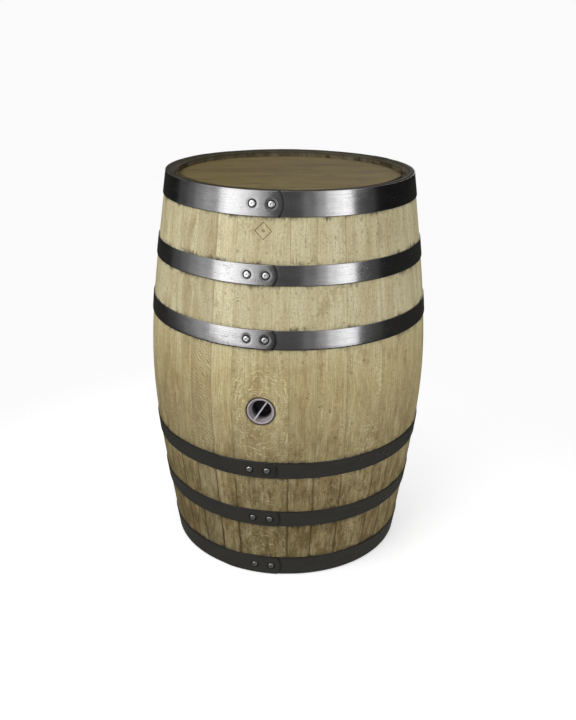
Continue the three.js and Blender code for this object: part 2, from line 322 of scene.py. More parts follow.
def knots_and_specks(g, plank, swirl, joint, low, look):
    """Knots are a few dark eyes, each in a browner stain, and specks gather in patches and
    near the joints low down. Returns where a knot is, its eye and its stain, and the specks."""
    across, along, _ = g.split(plank)
    share = g.own("knots")
    cells = g.stretch(g.join(across + swirl * 0.012, along, 0.0), (13, 9, 1))
    knot = g.node("TexVoronoi", {"Vector": cells}, feature="F1").outputs
    here = g.span(g.split(knot["Color"])[0], 0.6, 0.66) * share
    eye = here * g.fall(knot["Distance"], 0.03, 0.075)
    stain = g.fall(knot["Distance"], 0.06, 0.34)
    patch = g.span(g.noise(plank, (18, 14, 18), 2, 0.6), 0.52, 0.6)
    patch = g.larger(patch, low * g.fall(joint, 0.001, 0.016, 0.9))
    specks = g.span(g.noise(plank, (300, 190, 300), 2, 0.6), 0.64, 0.7)
    return here, eye, stain, specks * patch * (0.6 + share) * look["specks"]


def dirt_and_joints(g, plank, joint, height, low, look):
    """The shares of the darkening towards the bottom (dirt and painted shade), dirt beside a
    joint, rust by a hoop with painted shadow at its edges, dirt in the end grain, and the crack at the
    joint itself."""
    grime = g.noise(plank, (40, 28, 40), 4, 0.65)
    run = g.noise(plank, (170, 10, 170), 4, 0.68)
    blotch = g.span(g.noise(plank, (52, 21, 52), 5, 0.72), 0.42, 0.62)
    # Darker and greyer towards the bottom, in runs and blotches: dirt, and painted shade.
    dirt_and_shade = low * (0.46 + g.span(run, 0.36, 0.64, 0.0, 0.32) + blotch * 0.55)
    seam_low = g.span(height, 0.42, 0.2, look["seam_least"], 1.0)
    seam_width = 0.0006 + grime**3.5 * (0.004 + low * 0.042)
    seam = g.span(1.0 - joint / seam_width, 0.0, 1.0) * seam_low
    seam_open = g.span(run + seam_low * 0.4, 0.66, 1.02, 0.1, 0.95)
    crack = g.fall(joint, 0.0001, 0.0007) * g.larger(seam_open, look["seam_least"])
    # Darker along each hoop's edges: rust, and painted shadow of the hoop.
    ragged = height + (run - 0.5) * 0.03
    near_hoop = g.ramp(ragged / HEIGHT, hoop_shade_stops(8.5 * MM))
    rust_patch = g.span(g.noise(plank, (11, 9, 11), 2), 0.42, 0.58, 0.25, 1.0)
    rust_and_shadow = near_hoop * g.span(grime, 0.4, 0.62) * rust_patch
    from_end = HEIGHT / 2 - abs(height - HEIGHT / 2)
    end = g.fall(from_end, 0.0008, 0.013, look["end_dirt"])
    return dirt_and_shade, seam, rust_and_shadow, end, crack


def burnt_mark(g):
    """The outline of a plain diamond with a dot in it, on a branded stave."""
    across, up, _ = g.split(g.attribute("mark"))
    out = abs(across) + abs(up)
    outline = g.fall(abs(out - MARK_REACH), 0.001, 0.0019)
    return g.own("branded") * g.larger(outline, g.fall(out, 0.0035, 0.005))


def oak_material(name, look):
    g = Graph(bpy.data.materials.new(name))
    plank = g.attribute("plank")
    joint, height, blackened = g.split(g.attribute("place"))
    bleached = g.span(height, 0.52, 0.7) * g.fall(height, 1.6, 2.0)
    low = g.span(height, look["low_top"], look["low_bottom"])

    # Grain lines wander slowly sideways along the plank, and swirl in patches.
    across, along, depth = g.split(plank)
    wander = g.noise(plank, (5, 2.2, 5), 2)
    swirl = g.noise(plank, (16, 9, 16), 1.5)
    swirl_patch = g.span(g.noise(plank, (7, 4.5, 7), 1), 0.5, 0.66)
    line = across + (wander * 0.03 + swirl * swirl_patch * 0.016)
    grained = g.join(line, along, depth)
    broad = g.noise(grained, (30, 3.2, 30), 4, 0.6)
    streaks = g.noise(grained, (390, 13, 390), 3, 0.68)
    bands = g.noise(grained, (210, 3.4, 210), 3, 0.7)
    fibres = g.noise(grained, (1500, 34, 1500), 2, 0.6)
    freckle = g.noise(plank, (330, 210, 330), 2, 0.7)
    mottle = g.noise(plank, (24, 14, 24), 3, 0.6)
    crumb = g.noise(plank, (170, 125, 170), 3, 0.65)

    # Open pores are short dark dashes, gathered along the early wood of each year's growth,
    # and drying checks are sparse thin dark lines along the grain.
    early = g.span(g.noise(grained, (300, 3, 300), 1), 0.45, 0.62)
    pores = g.span(g.noise(grained, (2100, 120, 2100), 1), 0.62, 0.76) * (0.25 + early)
    checks = g.span(g.noise(grained, (560, 12, 560), 2), 0.67, 0.72) * g.span(mottle, 0.42, 0.6)

    flecks, dark_flecks = ray_flecks(g, plank, line, joint, height, bleached)
    knot, knot_eye, knot_stain, specks = knots_and_specks(g, plank, swirl, joint, low, look)
    dirt_and_shade, seam, rust_and_shadow, end, crack = dirt_and_joints(g, plank, joint, height, low, look)
    crumbs = g.span(crumb, 0.53, 0.6) * g.span(mottle, 0.42, 0.56)
    cluster = knot * g.span(knot_stain, 0.1, 0.8) * g.span(crumb, 0.44, 0.56)
    clear = g.span(bleached, 0.0, 1.0, 1.0, 0.55)
    branded = burnt_mark(g) * g.span(freckle, 0.3, 0.55, 0.95, 0.55)

    colour = g.ramp(broad, look["tones"])
    streaked = g.tinted(colour, look["streak"])
    colour = g.paint(
        colour,
        (g.fall(streaks, 0.34, 0.66) * clear, streaked),
        (g.fall(bands, 0.34, 0.54, 0.32) * clear, streaked),
        (crumbs * (look["crumbs"] + bleached * 0.33), look["mottle"]),
        (g.fall(freckle, 0.34, 0.52) * 0.75, streaked),
        (g.span(fibres, 0.35, 0.75) * 0.35, look["pale"]),
        (g.span(mottle, 0.5, 0.74) * 0.5, look["mottle"]),
        (pores * 0.75, look["pore"]),
        (checks * 0.75, look["pore"]),
        (knot * knot_stain * 0.55, look["mottle"]),
        (cluster * 0.7, look["pore"]),
        (flecks * look["fleck_strength"], look["fleck"]),
        (g.larger(knot_eye, specks), look["knot"]),
    )
    lighter = g.tinted(colour, (1.16, 1.16, 1.17))
    darker = g.tinted(colour, (0.74, 0.72, 0.68))
    colour = g.mix(g.span(g.own("tone"), -1, 1, 0, 1, False), darker, lighter)
    colour = g.mix(dark_flecks, colour, look["mottle"])
    colour = g.mix(bleached, colour, g.tinted(colour, look["bleach"]))
    # darker towards the bottom: dirt and painted shade
    colour = g.mix(dirt_and_shade, colour, g.tinted(colour, look["dirt_and_shade"]))
    colour = g.paint(
        colour,
        (flecks * low * 0.22, look["fleck"]),
        (seam * look["seam_share"], look["seam"]),
        # rust and painted shadow along the hoops
        (rust_and_shadow * 0.88, look["rust_and_shadow"]),
        (end, END_GRAIN),
        (crack * 0.9, DARKEST_BROWN),
        # charring, toasting and the croze, and painted shade in the bung hole and the chime
        (blackened, DARKEST_BROWN),
        (branded, look["knot"]),
    )
    relief = streaks * 0.5 + fibres * 0.35 - pores * 0.7 - knot_eye * 1.2
    normal = g.bump(relief, look["bump"], 0.0005, g.bump(wander * 3.0, 0.2, 0.0012))
    roughness = g.span(streaks, 0.3, 0.7, 0.56, 0.72, False) - flecks * 0.16
    return g.surface(colour, roughness, normal, {"Specular IOR Level": 0.35})


END_GRAIN = rgb(40, 35, 22)
DARKEST_BROWN = rgb(30, 23, 15)


def tones(*colours):
    """Ramp stops for the four tones that a board's broad figure runs through."""
    return [(place, rgb(*colour)) for place, colour in zip((0.3, 0.45, 0.58, 0.72), colours)]


STAVE_LOOK = {
    "tones": tones((190, 171, 123), (209, 196, 148), (220, 210, 165), (202, 188, 136)),
    "streak": rgb(213, 202, 177),
    "bleach": (1.04, 1.1, 1.26),
    "pale": rgb(232, 221, 184),
    "mottle": rgb(160, 138, 90),
    "pore": rgb(120, 98, 62),
    "fleck": rgb(255, 246, 200),
    "fleck_strength": 0.95,
    "knot": rgb(74, 54, 34),
    "dirt_and_shade": rgb(168, 160, 148),
    "low_top": 0.66,
    "low_bottom": 0.1,
    "end_dirt": 0.72,
    "seam": rgb(86, 68, 44),
    "seam_share": 0.75,
    "seam_least": 0.2,
    "rust_and_shadow": rgb(58, 50, 42),
    "specks": 0.9,
    "crumbs": 0.22,
    "bump": 0.5,
}

HEAD_LOOK = {
    "tones": tones((107, 91, 46), (118, 101, 53), (129, 113, 63), (110, 94, 49)),
    "streak": rgb(236, 232, 222),
    "bleach": (1.0, 1.0, 1.0),
    "pale": rgb(142, 125, 75),
    "mottle": rgb(92, 76, 44),
    "pore": rgb(86, 70, 44),
    "fleck": rgb(152, 137, 96),
    "fleck_strength": 0.4,
    "knot": rgb(66, 50, 32),
    "dirt_and_shade": (1.0, 1.0, 1.0),
    "low_top": 3.0,
    "low_bottom": 2.0,
    "end_dirt": 0.0,
    "seam": rgb(84, 70, 46),
    "seam_share": 0.6,
    "seam_least": 0.5,
    "rust_and_shadow": rgb(60, 48, 32),
    "specks": 0.5,
    "crumbs": 0.15,
    "bump": 0.45,
}


# ---- steel, rivets and silicone -----------------------------------------------------------


def steel_material():
    """Hoop steel. strip is (along, up from the lower edge, from the lap's middle)."""
    g = Graph(bpy.data.materials.new("hoop_steel"))
    strip = g.attribute("strip")
    along, up, lap = g.split(strip)
    worn = g.own("worn")

    cloud = g.noise(strip, (9, 26, 0), 4, 0.6)
    rolled = g.noise(strip, (7, 620, 0), 3, 0.6)
    brushed = g.noise(strip, (60, 2600, 0), 2, 0.6)
    mill = g.noise(strip, (260, 260, 0), 3, 0.7)
    tilted = g.join(along + up * 0.8, up + along * 0.05, 0.0)
    scratch_patch = g.span(g.noise(strip, (18, 40, 0), 2), 0.5, 0.64)
    scratches = g.span(g.noise(tilted, (22, 1100, 0), 2), 0.66, 0.72) * scratch_patch * worn
    nick_patch = g.span(g.noise(strip, (14, 30, 0), 1), 0.52, 0.66)
    nicks = g.span(g.noise(tilted, (190, 420, 0), 2), 0.67, 0.71) * nick_patch * worn

    # The sheet is pressed in round each rivet, and round each rivet head a dark ring is painted:
    # painted shadow of the head, with some dirt in the dent.
    from_rivet = g.length(abs(lap) - RIVET_SPACING / 2, up - g.own("half_width"))
    ring = g.fall(from_rivet + (mill - 0.5) * 0.003, 0.0084, 0.0115)
    dent = g.fall(from_rivet, 0.006, 0.016)

    # The strip's edges are painted dark, strongly on the less worn hoops, as painted shade over their
    # highlights, and the laps are darkened with dirt and painted shadow.
    rim = g.attribute("rim", "Fac")
    lap_shade_and_dirt = g.attribute("lap_shade_and_dirt", "Fac") * g.own("lap_soil")
    rusty = g.span(mill * 0.6 + cloud * 0.5, 0.58, 0.72)

    tones = [(0.3, rgb(172, 171, 172)), (0.55, rgb(190, 189, 190)), (0.75, rgb(176, 174, 173))]
    colour = g.paint(
        g.ramp(cloud, tones),
        (g.span(rolled, 0.4, 0.7) * 0.35, rgb(158, 157, 160)),
        (scratches * 0.6, rgb(222, 222, 224)),
        # painted shade over the edges' highlights
        (rim * g.span(worn, 0.41, 0.49, 0.95, 0.22), rgb(17, 16, 16)),
        (rusty * 0.35, rgb(72, 64, 62)),
        (nicks * 0.85, rgb(34, 30, 30)),
        # painted shadow and dirt round each rivet head
        (ring * 0.93, rgb(14, 13, 14)),
        # painted shadow and dirt at the lap
        (lap_shade_and_dirt, rgb(10, 9, 10)),
    )
    roughness = g.span(cloud, 0.3, 0.75, 0.13, 0.2, False) + g.span(rolled, 0.35, 0.7) * 0.05
    roughness = roughness + rusty * 0.12 + ring * 0.3 + rim * 0.22 + lap_shade_and_dirt * 0.3
    relief = rolled * 0.3 + brushed * 0.12 - scratches * 0.4 - nicks * 0.4
    normal = g.bump(relief, 0.22, 0.0003, g.bump(dent * -1.0, 0.6, 0.0008))
    return g.surface(colour, roughness, normal, {"Metallic": 1.0})


def rivet_material():
    """Soft bright steel, hammered, with painted shade round the head's edge and in its dimple: local is
    the rivet's own (across, across, out).
    """
    g = Graph(bpy.data.materials.new("rivet_steel"))
    local = g.attribute("local")
    from_axis = g.length(*g.split(local)[:2])
    hammer = g.noise(local, (420, 420, 420), 3, 0.6)
    grit = g.noise(local, (1700, 1700, 1700), 2, 0.6)
    skirt = g.span(from_axis, 0.0056, 0.0071)
    dimple = g.fall(from_axis, 0.0012, 0.0022)
    colour = g.paint(
        g.ramp(hammer, [(0.3, rgb(226, 226, 227)), (0.6, rgb(246, 246, 247))]),
        # painted shade round the head's edge
        (skirt * 0.55, rgb(92, 92, 96)),
        # painted shade in the dimple
        (dimple * 0.5, rgb(120, 120, 124)),
        (g.span(grit, 0.6, 0.72) * 0.35, rgb(110, 106, 104)),
    )
    roughness = g.span(hammer, 0.3, 0.7, 0.3, 0.42, False)
    return g.surface(colour, roughness, g.bump(hammer + grit * 0.3, 0.4, 0.0004), {"Metallic": 1.0})


def silicone_material():
    """Translucent lavender silicone, dusty in patches, painted dark down in its hollow as painted
    shade, with a painted highlight on the web's crest.
    """
    g = Graph(bpy.data.materials.new("bung_silicone"))
    local = g.attribute("local")
    across, aside, depth = g.split(local)
    from_axis = g.length(across, aside)
    web = g.attribute("web", "Fac")
    cloud = g.noise(local, (55, 55, 55), 3, 0.6)
    grain = g.noise(local, (900, 900, 900), 2, 0.6)
    dust = g.span(g.noise(local, (240, 240, 240), 4, 0.7), 0.52, 0.7)
    # The hollow tapers faster than the outside, so this splits the two at any depth.
    hollow = g.fall(from_axis + depth * 0.18, 0.0288, 0.0294) * g.fall(depth, 0.0385, 0.0395)
    colour = g.paint(
        g.ramp(cloud, [(0.3, rgb(158, 148, 150)), (0.7, rgb(182, 172, 175))]),
        (g.span(from_axis, 0.0266, 0.0274) * 0.3, rgb(198, 188, 192)),
        (dust * 0.35, rgb(168, 158, 146)),
        # Painted shade: the hollow's wall greyer below its edge, then nearly black deeper down (half as
        # much on the web); painted highlight on the web's crest.
        (g.span(depth, 0.0008, 0.002) * hollow * 0.35, rgb(98, 94, 100)),
        (hollow * g.span(depth, 0.011, 0.025) * (1.0 - web * 0.5) * 0.92, rgb(28, 24, 31)),
        (web * g.fall(depth, 0.004, 0.01, 0.9), rgb(214, 211, 214)),
    )
    roughness = g.span(grain, 0.3, 0.7, 0.4, 0.58, False)
    subsurface = {
        "Subsurface Weight": 0.35,
        "Subsurface Radius": (0.004, 0.003, 0.0035),
        "Subsurface Scale": 1.0,
    }
    return g.surface(colour, roughness, g.bump(cloud * 1.5 + grain * 0.3, 0.25, 0.0004), subsurface)


# ---- mesh helpers -------------------------------------------------------------------------


def outer_radius(z):
    """The stave's outer curve: a hyperbola, nearly straight towards the ends."""

    def bend(share):
        return np.hypot(1.0, share / BEND_SPREAD) - 1.0

    share = np.abs(2.0 * z / HEIGHT - 1.0)
    return BILGE_RADIUS - (BILGE_RADIUS - END_RADIUS) * bend(share) / bend(1.0)


def smoothstep(value, low, high):
    share = np.clip((value - low) / (high - low), 0.0, 1.0)
    return share * share * (3.0 - 2.0 * share)


def rounded(corners, steps=4):
    """A closed outline through (x, y, before, after) corners. Each corner is rounded from
    before away on the side it is reached, to after away on the side it is left."""
    points = []
    for index, (x, y, before, after) in enumerate(corners):
        here = np.array((x, y))
        if before <= 0:
            points.append(here)
            continue
        last = np.array(corners[index - 1][:2]) - here
        following = np.array(corners[(index + 1) % len(corners)][:2]) - here
        start = here + last / np.linalg.norm(last) * before
        end = here + following / np.linalg.norm(following) * after
        for t in np.linspace(0.0, 1.0, steps + 1):
            points.append((1 - t) ** 2 * start + 2 * t * (1 - t) * here + t * t * end)
    return np.array(points)


def divided(outline, longest):
    """The same closed outline with its long sides divided evenly."""
    points = []
    for here, following in zip(outline, np.roll(outline, -1, axis=0)):
        parts = max(1, math.ceil(np.linalg.norm(following - here) / longest))
        for step in range(parts):
            points.append(here + (following - here) * step / parts)
    return np.array(points)


def inset(outline, distance):
    """The closed outline moved inwards by distance."""
    ahead = np.roll(outline, -1, axis=0) - outline
    ahead /= np.maximum(np.linalg.norm(ahead, axis=1), 1e-9)[:, None]
    tangent = ahead + np.roll(ahead, 1, axis=0)
    tangent /= np.maximum(np.linalg.norm(tangent, axis=1), 1e-9)[:, None]
    x, y = outline[:, 0], outline[:, 1]
    area = np.sum(x * np.roll(y, -1) - np.roll(x, -1) * y)
    normal = np.stack((-tangent[:, 1], tangent[:, 0]), axis=1) * np.sign(area)
    return outline + normal * distance


def tube_faces(rings, around, capped=True):
    """Faces joining equal closed rings of points, with a flat face at each end."""
    faces = []
    for ring in range(rings - 1):
        start = ring * around
        for point in range(around):
            after = (point + 1) % around
            faces.append((start + point, start + after, start + around + after, start + around + point))
    if capped:
        faces.append(tuple(reversed(range(around))))
        faces.append(tuple(range((rings - 1) * around, rings * around)))
    return faces


def lathe(profile, segments):
    """Points and faces of a solid turned about the local Z axis, from (radius, height) pairs
    that begin and end on the axis."""
    angles = np.linspace(0, 2 * math.pi, segments, endpoint=False)
    x, y = np.cos(angles), np.sin(angles)
    rings = [np.stack((r * x, r * y, 0 * x + height), axis=1) for r, height in profile[1:-1]]
    points = np.concatenate((*rings, [(0, 0, profile[0][1]), (0, 0, profile[-1][1])]))
    faces = tube_faces(len(rings), segments, capped=False)
    low, last = len(points) - 2, (len(rings) - 1) * segments
    for i in range(segments):
        j = (i + 1) % segments
        faces += [(low, j, i), (low + 1, last + i, last + j)]
    return points, faces


def make_piece(name, points, faces, attributes, material, sharp=35.0):
    """A mesh object with vector attributes at its points, its faces turned outwards."""
    mesh = bpy.data.meshes.new(name)
    mesh.from_pydata([tuple(p) for p in points], [], faces)
    for key, values in attributes.items():
        values = np.asarray(values, dtype=np.float32)
        kind = "FLOAT_VECTOR" if values.ndim == 2 else "FLOAT"
        layer = mesh.attributes.new(key, kind, "POINT")
        layer.data.foreach_set("vector" if values.ndim == 2 else "value", values.ravel())
    work = bmesh.new()
    work.from_mesh(mesh)
    bmesh.ops.recalc_face_normals(work, faces=work.faces)
    work.to_mesh(mesh)
    work.free()
    mesh.shade_smooth()
    mesh.set_sharp_from_angle(angle=math.radians(sharp))
    mesh.materials.append(material)
    piece = bpy.data.objects.new(name, mesh)
    bpy.context.scene.collection.objects.link(piece)
    return piece


def settle(piece, body, node, slot, **numbers):
    """Puts a piece on its body, hides the CAD node that it stands for, and sets the numbers that
    its material reads. slot, its finish, is not used."""
    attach(piece, body)
    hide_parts(node)
    for name, value in numbers.items():
        piece[name] = value


def grain_seed():
    """Where in the endless noise a plank's grain starts."""
    return np.array([rng.uniform(0, 4) for _ in range(3)])


# ---- staves -------------------------------------------------------------------------------

ARRIS = [(0.0, 0.22), (0.15, 0.09), (0.4, 0.02), (1.0, 0.0)]  # mm in from the joint, mm sunk
SIDE_GROWTH = 0.13 * MM  # each side comes this much nearer to its neighbour than in the CAD
END_ROUNDING = 1.6 * MM
HOLE_BLOCK = 50 * MM  # half the square of the bung stave's skin that is bent round the hole
HOLE_BLOCK_ANGLE = math.radians(8.1)
HOLE_STEPS = 20
HOLE_CLEARANCE = 0.35 * MM
HOLE_LIP = 2.8 * MM  # how far round the hole its edge is worn away


def stave_rows(has_hole, count):
    """Heights of the rows of points on a stave's long faces."""
    low, high = 4 * MM, HEIGHT - 4 * MM
    if not has_hole:
        return np.linspace(low, high, count)
    block_low, block_high = BUNG_HEIGHT - HOLE_BLOCK, BUNG_HEIGHT + HOLE_BLOCK
    below = np.linspace(low, block_low, count // 2)[:-1]
    above = np.linspace(block_high, high, count // 2)[1:]
    return np.concatenate((below, np.linspace(block_low, block_high, HOLE_STEPS + 1), above))


def stave_outline(outer_rows, inner_rows):
    """The stave's section as (radius, height) points, up its outer face and down the inner."""
    end_inner = END_RADIUS - END_FACE_WIDTH
    croze = CHIME_DEPTH + CROZE_WIDTH
    top = [
        (END_RADIUS, HEIGHT, END_ROUNDING, END_ROUNDING),
        (end_inner, HEIGHT, 1.3 * MM, 1.3 * MM),
        (CROZE_LIP_RADIUS, HEIGHT - CHIME_DEPTH, 0.9 * MM, 0.9 * MM),
        (CROZE_FLOOR_RADIUS, HEIGHT - CHIME_DEPTH, 0, 0),
        (CROZE_FLOOR_RADIUS, HEIGHT - croze, 0, 0),
        (outer_radius(HEIGHT - croze) - STAVE_THICKNESS, HEIGHT - croze, 0.6 * MM, 0.6 * MM),
    ]
    bottom = [(r, HEIGHT - z, after, before) for r, z, before, after in reversed(top)]
    outer = [(outer_radius(z), z, 0, 0) for z in outer_rows]
    inner = [(outer_radius(z) - STAVE_THICKNESS, z, 0, 0) for z in reversed(inner_rows)]
    return rounded(outer + top + inner + bottom)


def angular_span(node):
    """The middle direction of a stave, and its half width as an angle."""
    points = np.array([v.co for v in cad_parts[node].data.vertices])
    middle = math.atan2(points[:, 1].mean(), points[:, 0].mean())
    turned = np.arctan2(points[:, 1], points[:, 0]) - middle
    turned = (turned + math.pi) % (2 * math.pi) - math.pi
    return middle + (turned.max() + turned.min()) / 2, (turned.max() - turned.min()) / 2


def stave_columns(middle, half, has_hole):
    """Directions across a stave with how far it is rounded away there, and its half width."""
    half += SIDE_GROWTH / BILGE_RADIUS
    edge = [(distance * MM / BILGE_RADIUS, depth * MM) for distance, depth in ARRIS]
    inner_half = half - edge[-1][0]
    if has_hole:
        centre = -math.pi / 2 - middle
        low, high = centre - HOLE_BLOCK_ANGLE, centre + HOLE_BLOCK_ANGLE
        block = np.linspace(low, high, HOLE_STEPS + 1)
        left = np.linspace(-inner_half, low, 4)[1:-1]
        right = np.linspace(high, inner_half, 4)[1:-1]
        inner = np.concatenate((left, block, right))
    else:
        count = max(4, 2 * math.ceil(half * BILGE_RADIUS / (7 * MM)))
        inner = np.linspace(-inner_half, inner_half, count + 1)[1:-1]
    left = [(distance - half, depth) for distance, depth in edge]
    right = [(half - distance, depth) for distance, depth in reversed(edge)]
    return left + [(angle, 0.0) for angle in inner] + right, half


def add_bung_hole(points, faces, plank, place, layout, seed):
    """Opens the bung hole in the stave's skin: both faces are bent to circles and a tapered
    wall joins them. layout gives where the skin's square blocks are in the rings of points."""
    around, first_column, outer_row, inner_row = layout

    def index(column, row):
        return (first_column + column) * around + row

    steps = HOLE_STEPS
    square = [(c, 0) for c in range(steps)] + [(steps, r) for r in range(steps)]
    square += [(c, steps) for c in range(steps, 0, -1)] + [(0, r) for r in range(steps, 0, -1)]
    outer_loop = [index(c, outer_row + r) for c, r in square]
    inner_loop = [index(c, inner_row - r) for c, r in square]
    inside = set()
    for c in range(1, steps):
        for r in range(1, steps):
            inside.add(index(c, outer_row + r))
            inside.add(index(c, inner_row - r))
    opened = set(outer_loop) | inside
    opened_inner = set(inner_loop) | inside
    kept = [f for f in faces if len(f) > 4 or not (set(f) <= opened or set(f) <= opened_inner)]

    centre = np.array((0.0, BUNG_HEIGHT))

    def loop_xz(loop):
        return np.array([(points[i][0], points[i][2]) for i in loop])

    def on_surface(flat, sunk):
        radius = outer_radius(flat[:, 1])
        return -np.sqrt(radius**2 - flat[:, 0] ** 2) + sunk

    def wall_radius(depth):
        taper = (BUNG_INNER_RADIUS - BUNG_OUTER_RADIUS) / BUNG_LENGTH
        return BUNG_OUTER_RADIUS + HOLE_CLEARANCE + taper * depth

    directions = loop_xz(outer_loop) - centre
    directions /= np.linalg.norm(directions, axis=1)[:, None]
    rings = []  # (x, z) points, their y, and how dark they are painted: charring, and painted shade on the lip and down the hole
    square_out = loop_xz(outer_loop)
    lip = wall_radius(0) + HOLE_LIP
    for share in (0.25, 0.5, 0.72, 0.88, 0.96, 1.0):
        flat = square_out + (centre + directions * lip - square_out) * share
        rings.append((flat, on_surface(flat, 0.0), 0.5 * smoothstep(share, 0.9, 1.0)))
    for grown, sunk, char_and_shade in ((1.9, 0.5, 0.8), (1.1, 1.6, 1), (0.4, 3.4, 1), (0, 5.4, 1)):
        flat = centre + directions * (wall_radius(sunk * MM) + grown * MM)
        rings.append((flat, on_surface(flat, sunk * MM), char_and_shade))
    for depth in (9, 13, 17, 22, 26):
        flat = centre + directions * wall_radius(depth * MM)
        rings.append((flat, on_surface(flat, depth * MM), 1))
    square_in = loop_xz(inner_loop)
    for share in (1.0, 0.6, 0.3):
        flat = square_in + (centre + directions * wall_radius(28 * MM) - square_in) * share
        radius = outer_radius(flat[:, 1]) - STAVE_THICKNESS
        rings.append((flat, -np.sqrt(radius**2 - flat[:, 0] ** 2), share))

    loops = [outer_loop]
    for flat, y, char_and_shade in rings:
        loops.append(range(len(points), len(points) + len(square)))
        x, z = flat.T
        from_joint = BUNG_STAVE_HALF - np.abs(x)
        points = np.concatenate((points, np.stack((x, y, z), axis=1)))
        plank = np.concatenate((plank, np.stack((x, z, y + BILGE_RADIUS), axis=1) + seed))
        place = np.concatenate((place, np.stack((from_joint, z, 0 * x + char_and_shade), axis=1)))
    loops.append(inner_loop)
    for ring, following in zip(loops, loops[1:]):
        for i in range(len(square)):
            j = (i + 1) % len(square)
            kept.append((ring[i], ring[j], following[j], following[i]))
    return points, kept, plank, place, inside


def drop_points(points, faces, layers, unwanted):
    """Leaves out the unwanted points and renumbers the faces."""
    keep = np.array([i not in unwanted for i in range(len(points))])
    renumbered = np.cumsum(keep) - 1
    faces = [tuple(int(renumbered[i]) for i in face) for face in faces]
    return points[keep], faces, [layer[keep] for layer in layers]


def make_stave(node, material, tone, flecks, knots):
    """One bent stave: its section, set in a little at the edges, at each direction across."""
    has_hole = node == "bung_stave"
    middle, half = angular_span(node)
    outer_rows = stave_rows(has_hole, 96)
    inner_rows = stave_rows(has_hole, 40)
    outline = stave_outline(outer_rows, inner_rows)
    columns, half = stave_columns(middle, half, has_hole)
    lowered = 0.0 if has_hole else rng.choice((0.0, 0.25, 0.5, 0.8)) * MM
    sunk = 0.0 if has_hole else rng.uniform(0.0, 0.16) * MM
    seed = grain_seed()
    wave = [rng.uniform(0, 6.3) for _ in range(2)]

    points, plank, place = [], [], []
    for turned, rounding in columns:
        section = inset(outline, rounding)
        radius, z = section[:, 0].copy(), section[:, 1].copy()
        skin = outer_radius(z)
        ripple = np.sin(z * 21 + wave[0]) * np.sin(z * 7.3 + turned * 9 + wave[1]) * 0.06 * MM
        radius -= sunk - (0 if has_hole else 1) * ripple * smoothstep(radius, skin - 4 * MM, skin)
        z = z - lowered * smoothstep(z, HEIGHT - 40 * MM, HEIGHT)
        angle = middle + turned
        points.append(np.stack((radius * math.cos(angle), radius * math.sin(angle), z), axis=1))
        plank.append(np.stack((turned * radius, z, radius - skin), axis=1) + seed)
        from_joint = (half - abs(turned)) * radius
        to_end = HEIGHT / 2 - np.abs(z + lowered * (z > 0.5) - HEIGHT / 2)
        # Near the ends, the faces set in from the outside (chime and croze) are painted dark: dirt, and
        # painted shade in the recess above the head. The end faces are darkened too.
        inner_side = smoothstep(skin - radius, 1.5 * MM, 3.5 * MM) * (to_end < 30 * MM)
        chime_dirt_and_shade = np.maximum(0.72 * inner_side, 0.85 * smoothstep(1.9 * MM - to_end, 0, 1 * MM))
        toasted = 0.55 * smoothstep(skin - radius, 20 * MM, 26 * MM)
        place.append(np.stack((from_joint, z, np.maximum(chime_dirt_and_shade, toasted)), axis=1))
    around = len(outline)
    faces = tube_faces(len(columns), around)
    points, plank, place = (np.concatenate(rows) for rows in (points, plank, place))
    if has_hole:
        angles = np.array([turned for turned, _ in columns])
        first = int(np.argmin(np.abs(angles - (-math.pi / 2 - middle - HOLE_BLOCK_ANGLE))))
        low = BUNG_HEIGHT - HOLE_BLOCK
        outer_row = int(np.argmin(np.abs(outline[: len(outer_rows), 1] - low)))
        skin = outer_radius(outline[:, 1])
        is_inner = np.abs(outline[:, 0] - (skin - STAVE_THICKNESS)) < 1e-6
        gap_to_low = np.where(is_inner, np.abs(outline[:, 1] - low), 9.0)
        layout = (around, first, outer_row, int(np.argmin(gap_to_low)))
        points, faces, plank, place, inside = add_bung_hole(
            points, faces, plank, place, layout, seed
        )
        points, faces, (plank, place) = drop_points(points, faces, [plank, place], inside)
    # A plain diamond burnt into the bung stave between the top two hoops.
    mark = np.stack((points[:, 0] - MARK_X, points[:, 2] - MARK_HEIGHT, 0 * points[:, 2]), axis=1)
    layers = {"plank": plank, "place": place, "mark": mark}
    piece = make_piece(node + "_wood", points, faces, layers, material)
    numbers = {"tone": tone, "flecks": flecks, "knots": knots, "raked": RAKED_STAVES.get(node, 0.0)}
    numbers["branded"] = numbers["figure"] = 1.0 if has_hole else 0.0
    settle(piece, "barrel", node, "stave_oak", **numbers)


# The staves seen beside the bung stave have their own tones, flecks and knots.
STAVE_CHARACTER = {
    "bung_stave": (0.0, 1.0, 0.35),
    "stave_02": (-0.12, 0.3, 0.5),
    "stave_03": (0.1, 0.45, 0.7),
    "stave_04": (0.02, 1.0, 0.6),
    "stave_05": (-0.05, 0.3, 0.5),
    "stave_06": (-0.1, 0.5, 0.5),
    "stave_24": (-0.1, 0.8, 0.5),
    "stave_25": (0.05, 0.4, 0.6),
    "stave_26": (-0.1, 0.3, 0.4),
    "stave_27": (-0.2, 0.5, 0.4),
    "stave_28": (-0.55, 1.0, 0.3),
    "stave_29": (0.6, 0.3, 0.2),
}

# These staves' rays run aslant in close lines, as on a board cut nearly along them.
RAKED_STAVES = {"stave_28": 1.0, "stave_11": 0.8, "stave_18": 1.0}


def make_staves():
    material = oak_material("stave_oak", STAVE_LOOK)
    nodes = sorted(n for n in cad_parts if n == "bung_stave" or n.startswith("stave_"))
    for node in nodes:
        drawn = (rng.uniform(-0.35, 0.35), rng.uniform(0.2, 1.0), rng.uniform(0.2, 0.8))
        make_stave(node, material, *STAVE_CHARACTER.get(node, drawn))


# ---- heads --------------------------------------------------------------------------------

